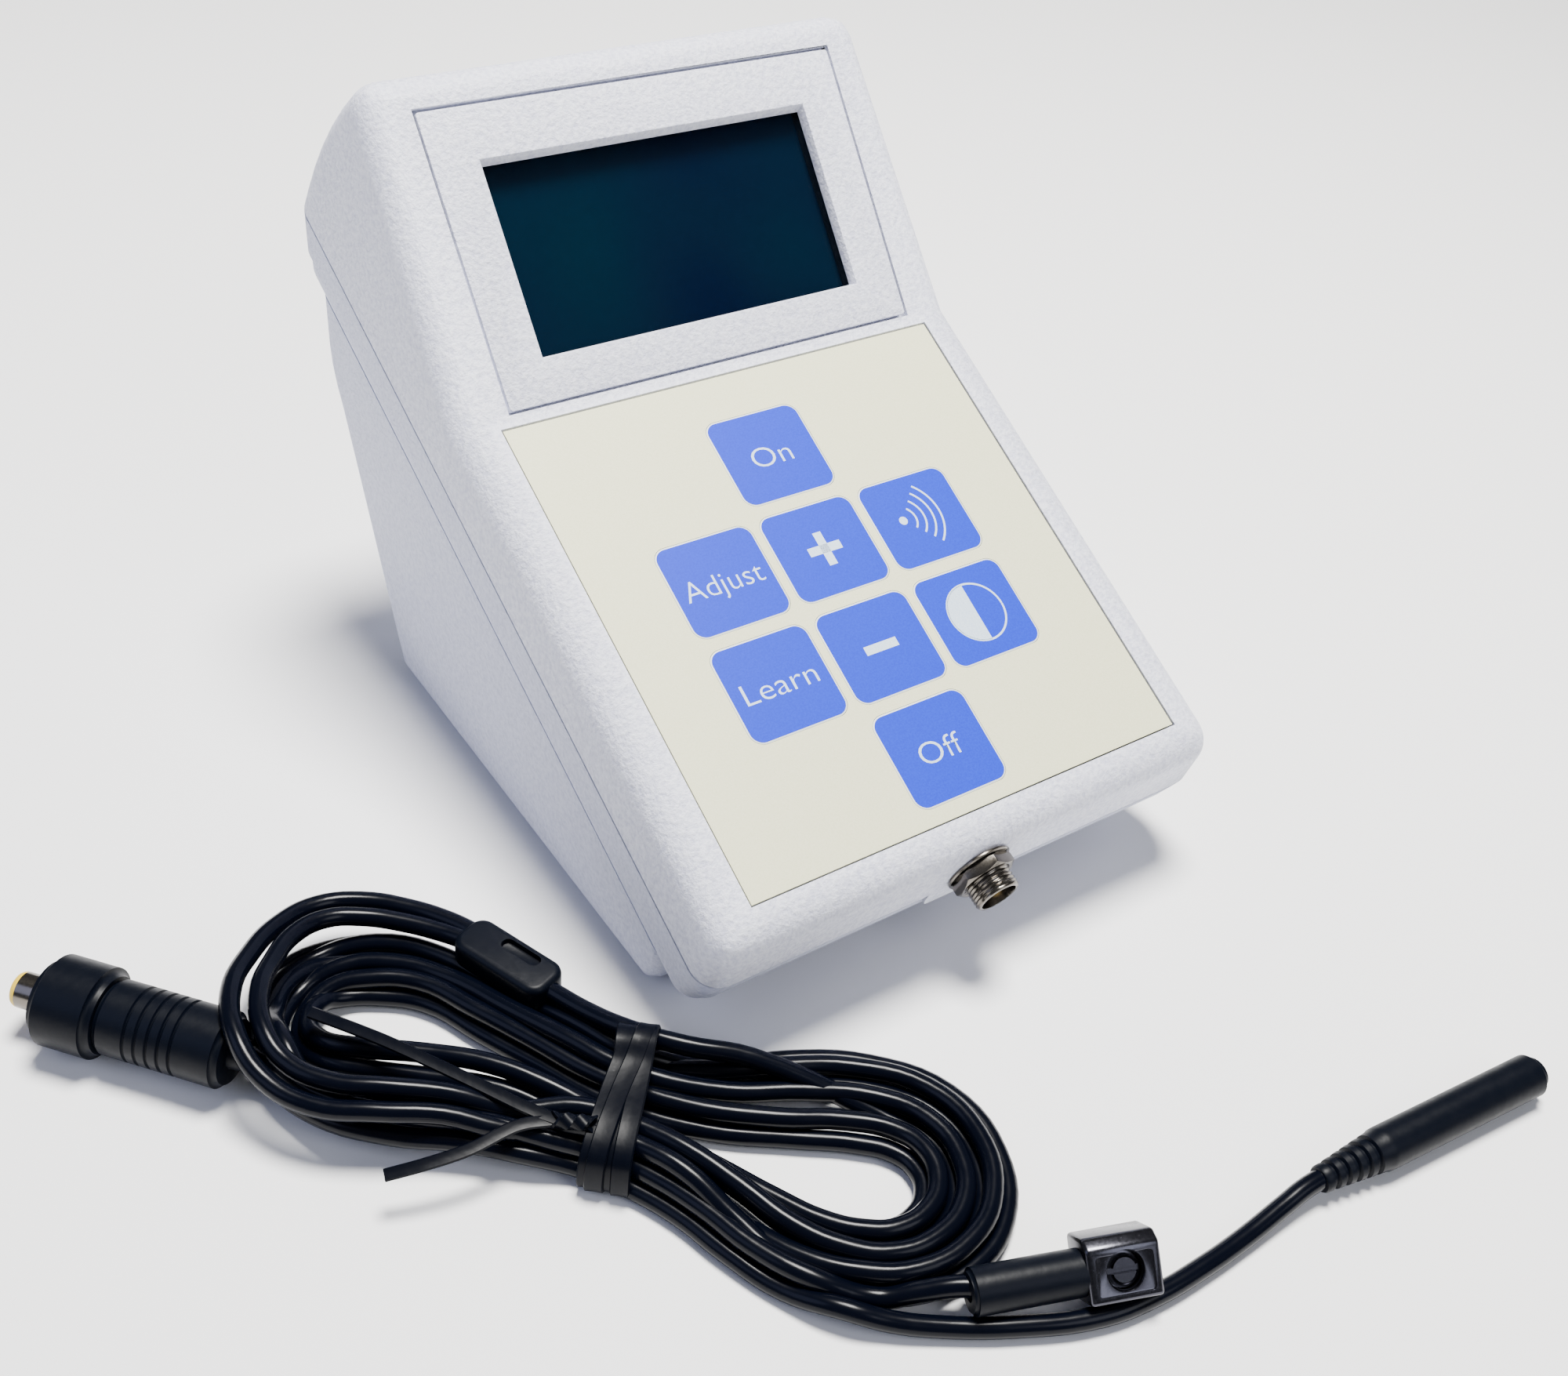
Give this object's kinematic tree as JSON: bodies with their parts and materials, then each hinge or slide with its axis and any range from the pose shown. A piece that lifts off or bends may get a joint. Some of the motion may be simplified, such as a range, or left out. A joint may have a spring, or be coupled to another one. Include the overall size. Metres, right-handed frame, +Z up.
{
  "type": "dental apex locator",
  "caption": "Wedge-shaped desk-top measuring unit with a membrane keypad, tilted display, threaded front socket and a tied two-branch patient lead.",
  "frame": {"origin": "centre of the unit's footprint box, on the table", "axes": "+Z up, the keypad and socket face -Y, +X to the user's right"},
  "size_m": [0.197, 0.2134, 0.11],
  "materials": {
    "case_cover": "fine speckled texture, off-white",
    "case_shell": "fine speckled texture, pale grey",
    "display_bezel": "satin",
    "display_window": "clear, slightly tinted",
    "bright_metal": "plain sheet",
    "lcd_glass": "dark polarised panel",
    "circuit_board": "solder mask",
    "steel": "zinc plated",
    "keypad_sheet": "fine matt film",
    "keypad_spacer": "plain film",
    "ribbon": "flexible film",
    "black_plastic": "moulded",
    "white_plastic": "moulded",
    "nickel": "bright nickel plate",
    "contact_brass": "plated contact",
    "foot_rubber": "moulded",
    "battery_skin": "printed jacket, no lettering",
    "wire_red": "insulated wire",
    "lead_plastic": "moulded, semi-gloss",
    "lead_cord": "vinyl jacket",
    "tie_strip": "plastic covered tie",
    "tip_insulator": "moulded, yellow",
    "key_blue": "printed film"
  },
  "bodies": {
    "unit": {"front_cover": "case_cover", "rear_shell": "case_shell", "display_bezel": "display_bezel", "display_window": "display_window", "lcd_frame": "bright_metal", "lcd_glass": "lcd_glass", "lcd_board": "circuit_board", "lcd_screws": "steel", "keypad_overlay": "keypad_sheet", "keypad_spacer": "keypad_spacer", "keypad_circuit": "keypad_spacer", "keypad_domes": "steel", "keypad_tail": "ribbon", "main_board": "circuit_board", "board_chips": "black_plastic", "board_connectors": "white_plastic", "board_screws": "steel", "sounder": "black_plastic", "jack_bushing": "nickel", "jack_washer": "nickel", "jack_nut": "nickel", "jack_body": "black_plastic", "jack_insulator": "black_plastic", "jack_pin": "contact_brass", "jack_terminals": "contact_brass", "case_screws": "steel", "rubber_feet": "foot_rubber", "battery": "battery_skin", "battery_snap": "black_plastic", "battery_wires": "wire_red", "jack_wires": "wire_red"},
    "key_on": {"key_on": "key_blue"},
    "key_adjust": {"key_adjust": "key_blue"},
    "key_plus": {"key_plus": "key_blue"},
    "key_sound": {"key_sound": "key_blue"},
    "key_learn": {"key_learn": "key_blue"},
    "key_minus": {"key_minus": "key_blue"},
    "key_contrast": {"key_contrast": "key_blue"},
    "key_off": {"key_off": "key_blue"},
    "battery_door": {"battery_door": "case_shell"},
    "lead": {"plug_tip": "tip_insulator", "plug_barrel": "nickel", "plug_boot": "lead_plastic", "cord_splitter": "lead_plastic", "plug_cord": "lead_cord", "cord_hank": "lead_cord", "hank_tie": "tie_strip", "clip_sleeve": "lead_plastic", "clip_block": "nickel", "probe_cord": "lead_cord", "probe_handle": "lead_plastic", "probe_socket": "contact_brass"},
    "plug_collar": {"plug_collar": "lead_plastic"},
    "clip_screw": {"clip_screw": "nickel"}
  },
  "joints": [
    {"name": "on_press", "type": "slide", "parent": "unit", "child": "key_on", "axis": [0, 0.4384, -0.8988], "range_m": [0, 0.0004], "stiffness_N_per_m": 400, "springref_m": -0.0005},
    {"name": "adjust_press", "type": "slide", "parent": "unit", "child": "key_adjust", "axis": [0, 0.4384, -0.8988], "range_m": [0, 0.0004], "stiffness_N_per_m": 400, "springref_m": -0.0005},
    {"name": "plus_press", "type": "slide", "parent": "unit", "child": "key_plus", "axis": [0, 0.4384, -0.8988], "range_m": [0, 0.0004], "stiffness_N_per_m": 400, "springref_m": -0.0005},
    {"name": "sound_press", "type": "slide", "parent": "unit", "child": "key_sound", "axis": [0, 0.4384, -0.8988], "range_m": [0, 0.0004], "stiffness_N_per_m": 400, "springref_m": -0.0005},
    {"name": "learn_press", "type": "slide", "parent": "unit", "child": "key_learn", "axis": [0, 0.4384, -0.8988], "range_m": [0, 0.0004], "stiffness_N_per_m": 400, "springref_m": -0.0005},
    {"name": "minus_press", "type": "slide", "parent": "unit", "child": "key_minus", "axis": [0, 0.4384, -0.8988], "range_m": [0, 0.0004], "stiffness_N_per_m": 400, "springref_m": -0.0005},
    {"name": "contrast_press", "type": "slide", "parent": "unit", "child": "key_contrast", "axis": [0, 0.4384, -0.8988], "range_m": [0, 0.0004], "stiffness_N_per_m": 400, "springref_m": -0.0005},
    {"name": "off_press", "type": "slide", "parent": "unit", "child": "key_off", "axis": [0, 0.4384, -0.8988], "range_m": [0, 0.0004], "stiffness_N_per_m": 400, "springref_m": -0.0005},
    {"name": "battery_door_slide", "type": "slide", "parent": "unit", "child": "battery_door", "axis": [0, 1, 0], "range_m": [0, 0.04]},
    {"name": "lead_lift", "type": "slide", "parent": "unit", "child": "lead", "axis": [0, -0.8, 0.6], "range_m": [0, 0.12]},
    {"name": "collar_turn", "type": "hinge", "parent": "lead", "child": "plug_collar", "pos_m": [-0.12654, -0.0153, 0.007], "axis": [0.6428, -0.766, 0], "continuous": true},
    {"name": "clip_screw_turn", "type": "hinge", "parent": "lead", "child": "clip_screw", "pos_m": [-0.02154, -0.12721, 0.0054], "axis": [-0.2418, -0.6645, 0.7071], "continuous": true}
  ]
}
